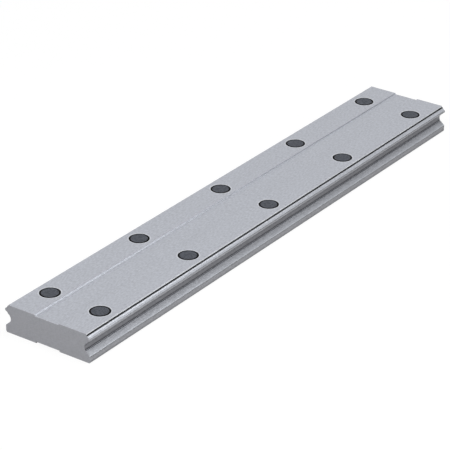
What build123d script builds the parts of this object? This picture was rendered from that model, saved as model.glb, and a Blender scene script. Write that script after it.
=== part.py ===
"""Wide linear guide rail with its mounting-hole plugs pressed in.

The rail is one ground steel bar. Two ball raceways run along each side, one at the top
corner and one under the nose below it, so that a carriage can take load from every side.
Two rows of counterbored holes take socket-head cap screws, and a plastic plug closes
each counterbore flush with the top.

Frame: millimetres, origin at the centre of the underside, +Y along the rail, +X across
it, +Z up from the mounting surface.
"""

from build123d import *
from math import radians, tan
import os

os.makedirs("parts", exist_ok=True)

# Rail, overall
rail_width = 37.0
rail_height = 11.0
hole_pitch = 50.0
holes_per_row = 5
end_distance = 15.0
rail_length = (holes_per_row - 1) * hole_pitch + 2 * end_distance
end_chamfer = 0.1

# Top of the section: two ground lands with a shallow recess between them, whose walls
# lean outwards. The web is the land left between the recess and the counterbores. The
# insets here and below are measured inwards from the side faces of the foot.
land_inset = 1.4
recess_web = 1.95
recess_depth = 0.5
recess_lean = 0.3
land_chamfer = 0.3

# Upper raceways: a narrow relief under the land's edge, then a groove for balls of
# 3.175 mm, facing outwards and up, that ends at the nose
upper_raceway_inset = 1.1
upper_raceway_depth = 0.65
upper_relief = 0.14
raceway_radius = 1.67
nose_top_depth = 1.65
nose_bottom_depth = 2.55
nose_chamfer = 0.12

# Lower raceways: the same groove under the nose, facing outwards and down, in to a
# ridge. The waist below it is a wider hollow, with a relief in its root.
ridge_inset = 1.3
ridge_depth = 3.5
waist_radius = 2.12
waist_inset = 2.2
waist_height = 4.72
waist_relief = 0.22
waist_relief_width = 0.45

# Foot: sloping flank, reference side face and mounting pads
flank_angle = 41.8
side_face_top = 2.75
base_chamfer = 0.5
base_recess_width = 10.2
base_recess_depth = 0.5

# Holes for M4 socket-head cap screws, in two rows
rows = 2
row_inset = 7.5
screw_hole_diameter = 4.5
counterbore_diameter = 7.5
counterbore_depth = 5.3
counterbore_chamfer = 0.12

# Plugs
plug_clearance = 0.02
plug_height = 1.2
plug_edge_chamfer = 0.45
plug_lead_in = 0.25
plug_hollow_diameter = 5.5
plug_hollow_depth = 0.4

half_width = rail_width / 2
row_spacing = rail_width - 2 * row_inset
recess_width = row_spacing - counterbore_diameter - 2 * recess_web
land_edge = half_width - land_inset
waist = half_width - waist_inset
nose_top = rail_height - nose_top_depth
nose_bottom = rail_height - nose_bottom_depth
groove_start = (half_width - upper_raceway_inset, rail_height - upper_raceway_depth)
ridge = (half_width - ridge_inset, rail_height - ridge_depth)
recess_floor = rail_height - recess_depth
recess_foot = recess_width / 2 - recess_lean
flank_slope = tan(radians(flank_angle))
flank_start = waist + waist_relief_width
flank_start_height = side_face_top + (half_width - flank_start) * flank_slope

with BuildPart() as rail:
    with BuildSketch(Plane.XZ):
        with BuildLine():
            # Recess wall and land
            Polyline(
                (recess_foot, recess_floor),
                (recess_width / 2, rail_height),
                (land_edge - land_chamfer, rail_height),
                (land_edge, rail_height - land_chamfer),
            )
            # Relief, then the upper raceway out to the nose
            SagittaArc((land_edge, rail_height - land_chamfer), groove_start, -upper_relief)
            RadiusArc(groove_start, (half_width - nose_chamfer, nose_top), -raceway_radius)
            Polyline(
                (half_width - nose_chamfer, nose_top),
                (half_width, nose_top - nose_chamfer),
                (half_width, nose_bottom + nose_chamfer),
                (half_width - nose_chamfer, nose_bottom),
            )
            # Lower raceway in to the ridge, the waist, and the relief in its root
            RadiusArc((half_width - nose_chamfer, nose_bottom), ridge, -raceway_radius)
            RadiusArc(ridge, (waist, waist_height), -waist_radius)
            SagittaArc((waist, waist_height), (flank_start, flank_start_height), -waist_relief)
            # Flank, side face, base pad and the wall of the recess under the middle
            Polyline(
                (flank_start, flank_start_height),
                (half_width, side_face_top),
                (half_width, base_chamfer),
                (half_width - base_chamfer, 0),
                (base_recess_width / 2, 0),
                (base_recess_width / 2, base_recess_depth),
            )
            mirror(about=Plane.YZ)
            # Floors of the two recesses, across the middle
            Line((-recess_foot, recess_floor), (recess_foot, recess_floor))
            Line(
                (-base_recess_width / 2, base_recess_depth),
                (base_recess_width / 2, base_recess_depth),
            )
        make_face()
    extrude(amount=rail_length / 2, both=True)

    # The flat faces are broken at both ends, and the raceways run out full
    end_edges = rail.faces().filter_by(Axis.Y).edges()
    chamfer(end_edges.filter_by(GeomType.LINE), length=end_chamfer)

    # Counterbored screw holes
    with Locations((0, 0, rail_height)):
        with GridLocations(row_spacing, hole_pitch, rows, holes_per_row):
            CounterBoreHole(
                radius=screw_hole_diameter / 2,
                counter_bore_radius=counterbore_diameter / 2,
                counter_bore_depth=counterbore_depth,
            )
    top_lands = rail.faces().filter_by(Plane.XY).group_by(Axis.Z)[-1]
    mouths = top_lands.edges().filter_by(GeomType.CIRCLE)
    chamfer(mouths, length=counterbore_chamfer)

rail.part.label = "rail"
export_step(rail.part, "parts/rail.step")

# One plug in each counterbore, its top flush with the land and its skirt downwards
plug_radius = counterbore_diameter / 2 - plug_clearance
hole_places = GridLocations(row_spacing, hole_pitch, rows, holes_per_row).local_locations

for index, place in enumerate(hole_places):
    row = "left" if place.position.X < 0 else "right"
    number = index % holes_per_row + 1
    top_plane = Plane((place.position.X, place.position.Y, rail_height))
    with BuildPart(top_plane) as plug:
        Cylinder(plug_radius, plug_height, align=(Align.CENTER, Align.CENTER, Align.MAX))
        rims = plug.edges().filter_by(GeomType.CIRCLE).sort_by(Axis.Z)
        chamfer(rims[-1], length=plug_edge_chamfer)
        chamfer(rims[0], length=plug_lead_in)
        underside = Plane((place.position.X, place.position.Y, rail_height - plug_height))
        with BuildSketch(underside):
            Circle(plug_hollow_diameter / 2)
        extrude(amount=plug_hollow_depth, mode=Mode.SUBTRACT)
    name = f"plug_{row}_{number}"
    plug.part.label = name
    export_step(plug.part, f"parts/{name}.step")
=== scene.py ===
# %% [markdown]
# # A wide linear guide rail
#
# The real object is one flat steel bar, ground all over, with two ball raceways along
# each side and two rows of screw holes closed by plastic plugs. Nothing on it is soft,
# bent or loose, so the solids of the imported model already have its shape, and all of them
# stay as they are. This lesson spends its effort on what a drawing can't hold: how ground
# steel, sawn ends, oily grooves and moulded plastic take the light.

# %% Load the rail and its plugs
import math

import bpy
from mathutils import Euler, Matrix, Vector

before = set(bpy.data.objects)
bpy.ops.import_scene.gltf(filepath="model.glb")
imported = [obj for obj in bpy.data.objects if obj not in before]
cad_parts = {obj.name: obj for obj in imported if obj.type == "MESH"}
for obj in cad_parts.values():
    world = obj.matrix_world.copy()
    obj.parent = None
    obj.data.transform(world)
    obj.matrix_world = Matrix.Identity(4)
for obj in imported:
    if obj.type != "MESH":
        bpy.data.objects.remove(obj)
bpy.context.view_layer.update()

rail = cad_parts["rail"]
plugs = [node for name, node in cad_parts.items() if name.startswith("plug_")]

# %% [markdown]
# ## The camera
#
# The photograph was taken with a long lens from well back, above the right-hand side of
# the near end, so the two rows of plugs stay almost parallel. The ten plug centres fix
# the camera: its place, two angles and the lens were worked out from them, with the
# picture taken as a square. A small roll turns the camera a little about its view. A
# small roll keeps the plugs within a tenth of a pixel.

# %% Place the camera
camera_place = Vector((0.4284, -0.6084, 0.3791))
camera_azimuth = math.radians(35.71)
camera_elevation = math.radians(27.06)
camera_roll = math.radians(0.12)
lens_mm = 177.9
sensor_mm = 36.0
nearest_view = 0.01

camera_data = bpy.data.cameras.new("camera")
camera_data.lens = lens_mm
camera_data.sensor_width = sensor_mm
camera_data.clip_start = nearest_view
camera = bpy.data.objects.new("camera", camera_data)
bpy.context.collection.objects.link(camera)
aim = Euler((math.pi / 2 - camera_elevation, 0, camera_azimuth)).to_matrix()
camera.rotation_euler = (aim @ Matrix.Rotation(camera_roll, 3, "Z")).to_euler()
camera.location = camera_place
bpy.context.scene.camera = camera
print("camera at", [round(v, 4) for v in camera_place], "lens", lens_mm, "mm")

# %% [markdown]
# ## Writing a material as a formula
#
# A procedural material is a graph of nodes, and most of its nodes do arithmetic. Wiring
# them one by one hides the idea, so a small class wraps a node's output: adding or
# multiplying two of them puts the Math node there. The two shapes that the masks of this
# rail need, a smooth step and a band, are methods of the same class.


# %% A socket that does arithmetic
class Signal:
    """The output of one node. Arithmetic on it adds Math nodes to the same graph."""

    def __init__(self, graph, socket):
        self.graph = graph
        self.socket = socket

    def maths(self, operation, *values):
        """The result of one Math node on the values."""
        return self.graph.node("ShaderNodeMath", {"operation": operation}, *values)

    def __add__(self, other):
        return self.maths("ADD", self, other)

    def __radd__(self, other):
        return self.maths("ADD", other, self)

    def __sub__(self, other):
        return self.maths("SUBTRACT", self, other)

    def __rsub__(self, other):
        return self.maths("SUBTRACT", other, self)

    def __mul__(self, other):
        return self.maths("MULTIPLY", self, other)

    def __rmul__(self, other):
        return self.maths("MULTIPLY", other, self)

    def __abs__(self):
        return self.maths("ABSOLUTE", self)

    def rises(self, start, end):
        """0 before start and 1 past end, with a smooth slope between. With start above
        end it runs the other way: 1 below end and 0 above start."""
        settings = {"interpolation_type": "SMOOTHSTEP"}
        return self.graph.node("ShaderNodeMapRange", settings, self, start, end, 0.0, 1.0)

    def between(self, start, end, soft):
        """1 from start to end and 0 outside: the step up that ends at start, times what
        the step that begins at end leaves of 1. Both steps are soft wide."""
        return self.rises(start - soft, start) * (1 - self.rises(end, end + soft))


print("a Signal adds, subtracts, multiplies, and has maths, rises and between")

# %% [markdown]
# ## One method for every other node
#
# The other kinds of node all come from one method, which takes the settings first,
# because they can change the sockets, and then the values of the sockets. Colours go
# through the Mix node, since a Math node would turn them grey.


# %% The nodes of a material or a world
class Graph:
    """The nodes of a material or a world, which comes with its last shader in place."""

    def __init__(self, block, shader="Principled BSDF"):
        self.block = block
        block.use_nodes = True
        self.tree = block.node_tree
        self.shader = self.tree.nodes[shader]

    def put(self, socket, value):
        """Link a Signal to the socket, or write a plain value into it."""
        if isinstance(value, Signal):
            self.tree.links.new(value.socket, socket)
        else:
            socket.default_value = value

    def node(self, kind, settings, *values, output=0, **named):
        """A new node with its settings, then its sockets in their order or by name. None
        skips a socket."""
        made = self.tree.nodes.new(kind)
        for key, value in settings.items():
            setattr(made, key, value)
        for socket, value in zip(made.inputs, values):
            if value is not None:
                self.put(socket, value)
        for key, value in named.items():
            self.put(made.inputs[key], value)
        return Signal(self, made.outputs[output])

    def mix(self, mask, first, second):
        """A colour that goes from first to second as the mask goes from 0 to 1. The five
        sockets between mask and colours are for numbers and vectors."""
        skipped = [None] * 5
        return self.node("ShaderNodeMix", {"data_type": "RGBA"}, mask, *skipped, first,
                         second, output=2)

    def finish(self, **sockets):
        """Fill sockets of the last shader, and hand back the material or world. An
        underscore stands for the space in a socket's name."""
        for key, value in sockets.items():
            self.put(self.shader.inputs[key.replace("_", " ")], value)
        print(self.block.name, "has", len(self.tree.nodes), "nodes")
        return self.block


steel = Graph(bpy.data.materials.new("ground_steel"))
print("the steel starts with", len(steel.tree.nodes), "nodes")

# %% [markdown]
# ## Colours as a picture shows them
#
# A shader counts light, and a picture stores it on a curve that gives the dark tones more
# room. The colours of steel and plastic are written as they look in a picture, from 0 to
# 255, so that they can be compared with the render, and then turned into light.


# %% From picture values to light
def srgb(red, green, blue):
    """The light of each channel, and full alpha. A channel is divided by 255. Up to
    0.04045 it is then divided by 12.92, and above that it is raised by 0.055, divided by
    1.055 and taken to the power 2.4."""
    def linear(value):
        value = value / 255
        return value / 12.92 if value <= 0.04045 else ((value + 0.055) / 1.055) ** 2.4
    return (linear(red), linear(green), linear(blue), 1.0)


print("a picture's 128 is", round(srgb(128, 128, 128)[0], 3), "of full light")

# %% [markdown]
# ## Where a point lies on the rail
#
# The rail is one section drawn out along Y, so a finish that belongs to a face can be
# found from two numbers: how far across and how high a point lies. Painted masks or
# separate material slots could do the same, but a formula on Object coordinates needs no
# unwrapping, and it stays sharp at any size. Distances are in millimetres here, as on
# the drawing. Both halves of the section are alike, so the absolute value of X serves
# the left and the right side at once.

# %% Read a place in millimetres
mm_per_metre = 1000.0
hole_row = 11.0
hole_pitch = 50.0


def read_place(graph):
    """Object coordinates times 1000, in millimetres: the vector, then the absolute value
    of X as across, Y as along and Z as height."""
    metres = graph.node("ShaderNodeTexCoord", {}, output="Object")
    place = graph.node("ShaderNodeVectorMath", {"operation": "SCALE"}, metres,
                       Scale=mm_per_metre)
    parts = graph.node("ShaderNodeSeparateXYZ", {}, place).socket.node.outputs
    across, along, height = [Signal(graph, part) for part in parts]
    return place, abs(across), along, height


def from_hole(across, along):
    """Distance from the axis of the nearest screw hole: the square root of the sum of two
    squares, the distance to the row's line and the distance to the nearest pitch."""
    sideways = across - hole_row
    lengthways = along.maths("PINGPONG", along, hole_pitch / 2)
    squares = sideways * sideways + lengthways * lengthways
    return squares.maths("SQRT", squares)


place, across, along, height = read_place(steel)
hole = from_hole(across, along)
print("the steel reads its place with", len(steel.tree.nodes), "nodes")

# %% [markdown]
# ## Zones of the section
#
# A guide rail isn't one finish all over. The lands, the flanks, the side faces and the
# raceways are ground, and the raceways most finely, since the balls run there. The
# relief under a land's edge and the one at the root of the waist are out of the wheel's
# reach, and their dark colour is painted shade. The land edges and the rims of the holes
# are coloured bright as painted highlights. The ends are sawn off with an abrasive wheel
# after the grinding. Each zone becomes a mask between 0 and 1, with a soft edge, from the
# widths and heights of the drawing in millimetres.

# %% Masks for the zones
soft = 0.03
root_soft = 0.08
flank_soft = 0.05
half_length = 115.0
bore_radius = 3.75

zones = {
    "top": height.rises(10.42, 10.46),
    "end": abs(along).rises(half_length - 0.08, half_length - 0.04),
    "land_edge": across.between(16.88, 17.15, soft) * height.between(10.71, 10.96, soft),
    "recess_wall": across.between(5.0, 5.3, soft) * height.between(10.65, 10.99, soft),
    "top_relief": across.rises(16.9, 17.0) * height.between(10.22, 10.67, soft),
    "upper_raceway": across.rises(17.0, 17.1) * height.between(9.37, 10.34, soft),
    "nose": across.rises(18.3, 18.4) * height.between(8.5, 9.2, soft),
    "nose_edge": across.rises(18.3, 18.36) * height.between(9.24, 9.34, soft),
    "lower_raceway": across.rises(16.8, 16.9) * height.between(7.5, 8.45, soft),
    "waist": across.rises(17.3, 17.2) * height.between(4.72, 7.5, soft),
    "root_relief": across.rises(16.9, 16.8) * height.between(4.4, 4.83, root_soft),
    "flank": height.between(2.78, 4.3, flank_soft),
    "side": height.rises(2.81, 2.75),
    "rim": hole.rises(bore_radius + 0.6, bore_radius + 0.35) * height.rises(10.96, 10.99),
    "mouth": hole.rises(bore_radius + 0.14, bore_radius + 0.11) * height.rises(10.8, 10.86),
    "bore": hole.rises(bore_radius + 0.04, bore_radius + 0.02) * height.rises(0.02, 0.06),
}
print(len(zones), "zones:", ", ".join(zones))

# %% [markdown]
# ## Marks of the grinding wheel
#
# A surface grinder leaves thousands of scratches along the travel, each a few hundredths
# of a millimetre wide and many millimetres long. Noise squeezed across the rail and
# stretched along it gives such lines without an image. A second, rounder noise stands
# for the faint clouds that oil and handling leave, and a third for the bright and dark
# specks of the grain. The sawn ends have shallow arcs instead, parts of large circles
# about the wheel's centre. There the noise follows the distance from that centre, and
# drifts only slowly across the end.

# %% Lines, clouds, specks and saw arcs
coarse_detail, fine_detail = 2.0, 3.0
line_cell = (0.09, 16.0, 0.09)
cloud_cell = (7.0, 22.0, 5.0)
speck_cell = (0.55, 1.3, 0.55)
arc_cell = (0.35, 1.0, 0.6)
wheel_centre = (-70.0, 0.0, 120.0)
arc_drift = 0.02


def noise(graph, place, cell, detail):
    """Noise from -1 to 1: the place is divided by the cell's size in millimetres, and the
    noise there, from 0 to 1, is doubled and lowered by 1."""
    scale = tuple(1 / size for size in cell)
    settings = {"operation": "MULTIPLY"}
    stretched = graph.node("ShaderNodeVectorMath", settings, place, scale)
    cloud = graph.node("ShaderNodeTexNoise", {}, Vector=stretched, Scale=1.0, Detail=detail)
    return cloud * 2 - 1


lines = noise(steel, place, line_cell, fine_detail)
clouds = noise(steel, place, cloud_cell, coarse_detail)
specks = noise(steel, place, speck_cell, fine_detail)
reach = steel.node("ShaderNodeVectorMath", {"operation": "DISTANCE"}, place, wheel_centre,
                   output="Value")
arc_place = steel.node("ShaderNodeCombineXYZ", {}, reach, 0.0, across * arc_drift)
arcs = noise(steel, arc_place, arc_cell, coarse_detail)
print("cells across:", line_cell[0], speck_cell[0], cloud_cell[0], "and", arc_cell[0], "mm")

# %% [markdown]
# ## Colours that fade over a face
#
# Each zone has one colour, and three faces aren't even. The waist is painted darker than
# the raceways, and the waist and the flank darken further towards the root between them,
# as painted shade under the nose. The side face darkens towards its two edges, as painted
# shade too. The flank ends in a narrow painted highlight. A mask on the height mixes the
# lighter colour with the painted shade.

# %% Waist, flank and side face
# Painted shade: the waist darker than the raceways and darker again at its root, the flank
# darker at its root, the side darker at both edges.
upper_edge_shade_share = 0.8
waist_painted_shade, waist_root_painted_shade = srgb(136, 137, 142), srgb(122, 123, 128)
flank_grey, flank_root_painted_shade = srgb(165, 168, 174), srgb(149, 151, 157)
side_grey, side_edge_painted_shade = srgb(166, 167, 172), srgb(134, 135, 140)
# Painted highlight along the flank's lower lip.
flank_lip_painted_highlight = srgb(175, 178, 185)

waist_foot = height.rises(5.5, 4.7)
flank_head = height.rises(2.8, 4.2)
flank_lip = height.rises(3.1, 2.9)
side_edges = height.rises(1.4, 0.6) + upper_edge_shade_share * height.rises(2.1, 2.7)

waist_colour = steel.mix(waist_foot, waist_painted_shade, waist_root_painted_shade)
flank_colour = steel.mix(flank_head, flank_grey, flank_root_painted_shade)
flank_colour = steel.mix(flank_lip, flank_colour, flank_lip_painted_highlight)
side_colour = steel.mix(side_edges, side_grey, side_edge_painted_shade)
print("three faces fade, with", len(steel.tree.nodes), "nodes so far")

# %% [markdown]
# ## Colour of the steel
#
# The colours are laid over one another like coats of paint, each where its zone's mask is
# 1. That is simpler than masks that never overlap, because a later coat hides what lies
# under it. The sawn ends come last, so that they cover all the zones of the section.

# %% Lay the colours over one another
land_steel = srgb(180, 183, 191)
raceway_steel = srgb(177, 180, 187)
# Nearly black: painted shade for the upper relief and the bores.
painted_shade_black = srgb(18, 19, 22)
layers = {
    "flank": flank_colour,
    "side": side_colour,
    # Painted shade on the waist.
    "waist": waist_colour,
    "nose": srgb(168, 169, 174),
    "upper_raceway": raceway_steel,
    "lower_raceway": raceway_steel,
    "nose_edge": srgb(112, 114, 119),
    # Painted shade: the relief at the root of the waist is coloured dark.
    "root_relief": srgb(92, 93, 98),
    # Painted highlight along the land edges.
    "land_edge": srgb(200, 202, 207),
    "recess_wall": srgb(147, 150, 158),
    # Painted shade in the upper relief under the land's edge.
    "top_relief": painted_shade_black,
    # Painted highlight on the rims round the holes.
    "rim": srgb(203, 206, 213),
    "mouth": srgb(168, 170, 175),
    # Painted shade inside the bores.
    "bore": painted_shade_black,
    "end": srgb(175, 176, 182),
}
colour = land_steel
for zone, zone_colour in layers.items():
    colour = steel.mix(zones[zone], colour, zone_colour)
print("steel colour has", len(layers) + 1, "layers")

# %% [markdown]
# ## Marks over the colour
#
# Scratches, specks and clouds are the same metal, a little lighter or darker. So they
# don't get colours of their own: they scale the colour under them up and down, which
# keeps its tint. The ground faces and the sawn ends have different marks.

# %% Scale the colour by the marks
ground_marks = ((0.34, specks), (0.14, lines), (0.03, clouds))
sawn_marks = ((0.16, specks), (0.08, arcs))


def marked(marks):
    """1 plus each mark times its share."""
    total = 1
    for share, mark in marks:
        total = total + share * mark
    return total


grain = marked(ground_marks)
tone = grain + zones["end"] * (marked(sawn_marks) - grain)
colour = steel.node("ShaderNodeVectorMath", {"operation": "SCALE"}, colour, Scale=tone)
print(len(ground_marks), "marks on the ground faces,", len(sawn_marks), "on the sawn ends")

# %% [markdown]
# ## Shine of the steel
#
# In a principled shader full metal scatters nothing and shows only what it mirrors. A
# ground face with oil and fine scratches scatters much of what falls on it, so the
# metallic value stays low. It is higher on the recess walls, the flanks and the nose's
# edges, which are bright near the camera and fade with distance. It is lower on the lands
# and the side faces, and lowest in the upper relief and the bores, whose dark colour is
# painted shade. Roughness goes by zones too, and a sawn end has one value of each.

# %% Metal and roughness
base_metal, base_rough = 0.28, 0.38
sawn_metal, sawn_rough = 0.18, 0.53
# Less metal in the upper relief and the bores, which are painted dark as shade.
shade_metal_cut = 0.7
line_rough, cloud_rough = 0.05, 0.03
metal_steps = {
    "top": -0.12, "recess_wall": 0.29, "upper_raceway": 0.08, "lower_raceway": 0.08,
    "flank": 0.2, "nose_edge": 0.35, "side": -0.16,
}
rough_steps = {
    "top": 0.1, "top_relief": 0.25, "upper_raceway": -0.12, "lower_raceway": -0.12,
    "recess_wall": -0.28, "land_edge": -0.08, "flank": -0.14, "nose_edge": -0.18,
}


def stepped(base, steps):
    """The base value plus each zone's step times its mask."""
    total = base
    for zone, step in steps.items():
        total = total + step * zones[zone]
    return total


metal = stepped(base_metal, metal_steps)
for zone in ("top_relief", "bore"):
    metal = metal * (1 - shade_metal_cut * zones[zone])
metal = metal + zones["end"] * (sawn_metal - metal)
rough = stepped(base_rough, rough_steps)
rough = rough + zones["end"] * (sawn_rough - rough)
rough = rough + line_rough * lines + cloud_rough * clouds
print("metal changes on", len(metal_steps), "zones, roughness on", len(rough_steps))

# %% [markdown]
# ## Scratches that catch the light
#
# The lines and the saw arcs are real grooves, a few thousandths of a millimetre deep. To
# cut them into the mesh would take millions of faces, so a Bump node tilts the normals
# instead. The finished steel then takes the place of the plain one on the rail.

# %% Bump and finished steel
scratch_depth = 0.000002
steel_reflection = 0.3
scratch = lines + zones["end"] * (arcs - lines)
bump = steel.node("ShaderNodeBump", {}, Strength=1.0, Distance=scratch_depth,
                  Height=scratch)
rail.data.materials[0] = steel.finish(Base_Color=colour, Metallic=metal, Roughness=rough,
                                      Normal=bump, Specular_IOR_Level=steel_reflection)

# %% [markdown]
# ## The plugs
#
# Each plug is a small moulded disc that is tapped in until it lies flush. Its face is
# matt, blue-grey and a little mottled, as the mould was spark-eroded. Hardly any light
# comes back out of the narrow groove between the bevel round the face and the bore, so it
# shows as a black ring. The ring could be left to the light alone, but the bevel is
# coloured almost black instead, as painted shade.

# %% Moulded plastic
bevel_start = 3.12
mottle_cell = (0.6, 0.6, 0.6)
pit_cell = (0.15, 0.15, 0.15)
mottle_share, pit_share = 0.9, 0.4
pit_depth = 0.000004
base_matt, mottle_matt = 0.7, 0.08
plastic_reflection = 0.1
face_grey, groove_painted_shade = srgb(83, 86, 93), srgb(3, 3, 4)

plastic = Graph(bpy.data.materials.new("plug_plastic"))
spot, plug_across, plug_along, _ = read_place(plastic)
from_axis = from_hole(plug_across, plug_along)
mottle = noise(plastic, spot, mottle_cell, fine_detail)
pits = noise(plastic, spot, pit_cell, coarse_detail)
# Painted shade: the bevel round the face is coloured almost black.
bevel = from_axis.rises(bevel_start - 0.05, bevel_start + 0.03)
skin = plastic.mix(bevel, face_grey, groove_painted_shade)
skin = plastic.node("ShaderNodeVectorMath", {"operation": "SCALE"}, skin,
                    Scale=marked(((mottle_share, mottle), (pit_share, pits))))
pitted = plastic.node("ShaderNodeBump", {}, Strength=1.0, Distance=pit_depth, Height=pits)
plug_material = plastic.finish(Base_Color=skin, Roughness=base_matt + mottle_matt * mottle,
                               Normal=pitted, Specular_IOR_Level=plastic_reflection)
for plug in plugs:
    plug.data.materials[0] = plug_material
print(len(plugs), "plugs in one plastic")

# %% [markdown]
# ## The floor
#
# The rail lies on a white sheet. If the sheet were white to every ray, it would throw so
# much light under the nose that the grooves would fill up. So the floor is white only to
# the camera and to reflections, and grey to the light that it bounces. Most of that
# white is emission, which leaves a faint shadow where the steel touches the sheet.

# %% Floor
floor_size = 6.0
bounce_grey = (0.3, 0.3, 0.3, 1)
shadow_grey = (0.13, 0.13, 0.13, 1)
sheet_white = (0.9, 0.9, 0.9, 1)
no_light = (0, 0, 0, 1)

bpy.ops.mesh.primitive_plane_add(size=floor_size)
floor = bpy.context.object
floor.name = "floor"


def seen_rays(graph):
    """1 for a ray from the camera, or a reflected or transmitted one, else 0: the largest
    of the three flags."""
    flags = ("Is Camera Ray", "Is Glossy Ray", "Is Transmission Ray")
    camera_ray, glossy, through = [graph.node("ShaderNodeLightPath", {}, output=flag)
                                   for flag in flags]
    either = camera_ray.maths("MAXIMUM", camera_ray, glossy)
    return either.maths("MAXIMUM", either, through)


sheet = Graph(bpy.data.materials.new("pale_floor"))
seen = seen_rays(sheet)
floor.data.materials.append(sheet.finish(
    Base_Color=sheet.mix(seen, bounce_grey, shadow_grey), Roughness=1.0,
    Specular_IOR_Level=0.0, Emission_Strength=1.0,
    Emission_Color=sheet.mix(seen, no_light, sheet_white)))

# %% [markdown]
# ## The backdrop
#
# The background is white, but a white room would light the rail from everywhere and take
# the shape out of it. The same mask as on the floor makes the world white to the camera
# and to reflections, and leaves only a little of it as light. The Standard view transform
# keeps colours as they are written.

# %% World
room_light = 0.12
white_light = 1.0
sky = Graph(bpy.data.worlds.new("studio"), "Background")
brightness = room_light + seen_rays(sky) * (white_light - room_light)
bpy.context.scene.world = sky.finish(Color=(1, 1, 1, 1), Strength=brightness)
bpy.context.scene.view_settings.view_transform = "Standard"
print("world strength", room_light, "for light,", white_light, "for the camera")

# %% [markdown]
# ## Softboxes
#
# Small steel parts are lit with large diffusers, so that every face reflects something
# even. The key hangs almost overhead. A second box in front of the near end, halfway up,
# lights the sawn face and the top. A lower one stands behind the right side: the
# raceways mirror it near the camera and look past it further away, which makes the steel
# fade along its length. A weak fill stands low at the front left, and a small card close
# to the right side brightens the near end. A lamp's irradiance at the rail is its power
# divided by pi and by the distance squared, so each is given by direction, distance and
# the light that it should bring.


# %% Lamps
def softbox(name, elevation, azimuth, distance, size, light):
    """An area lamp aimed at the rail from a point on a sphere round it. Azimuth 0 is +X
    and 90 is +Y, light is in W/m2, and the power is pi times the distance squared times
    the light."""
    rise, turn = math.radians(elevation), math.radians(azimuth)
    direction = Vector((math.cos(rise) * math.cos(turn), math.cos(rise) * math.sin(turn),
                        math.sin(rise)))
    data = bpy.data.lights.new(name, "AREA")
    data.shape = "RECTANGLE"
    data.size, data.size_y = size
    data.energy = math.pi * distance ** 2 * light
    lamp = bpy.data.objects.new(name, data)
    bpy.context.collection.objects.link(lamp)
    lamp.location = direction * distance
    lamp.rotation_euler = direction.to_track_quat("Z", "Y").to_euler()
    print(f"{name}: {data.energy:.1f} W at {distance} m")


softbox("key", elevation=74, azimuth=50, distance=1.4, size=(0.7, 0.7), light=1.4)
softbox("front_box", elevation=45, azimuth=270, distance=1.6, size=(0.8, 0.8), light=1.12)
softbox("side_box", elevation=27, azimuth=40, distance=1.0, size=(0.28, 0.46), light=0.36)
softbox("fill", elevation=17, azimuth=225, distance=1.2, size=(0.6, 0.4), light=0.36)
softbox("near_card", elevation=15, azimuth=330, distance=0.32, size=(0.12, 0.1), light=0.68)
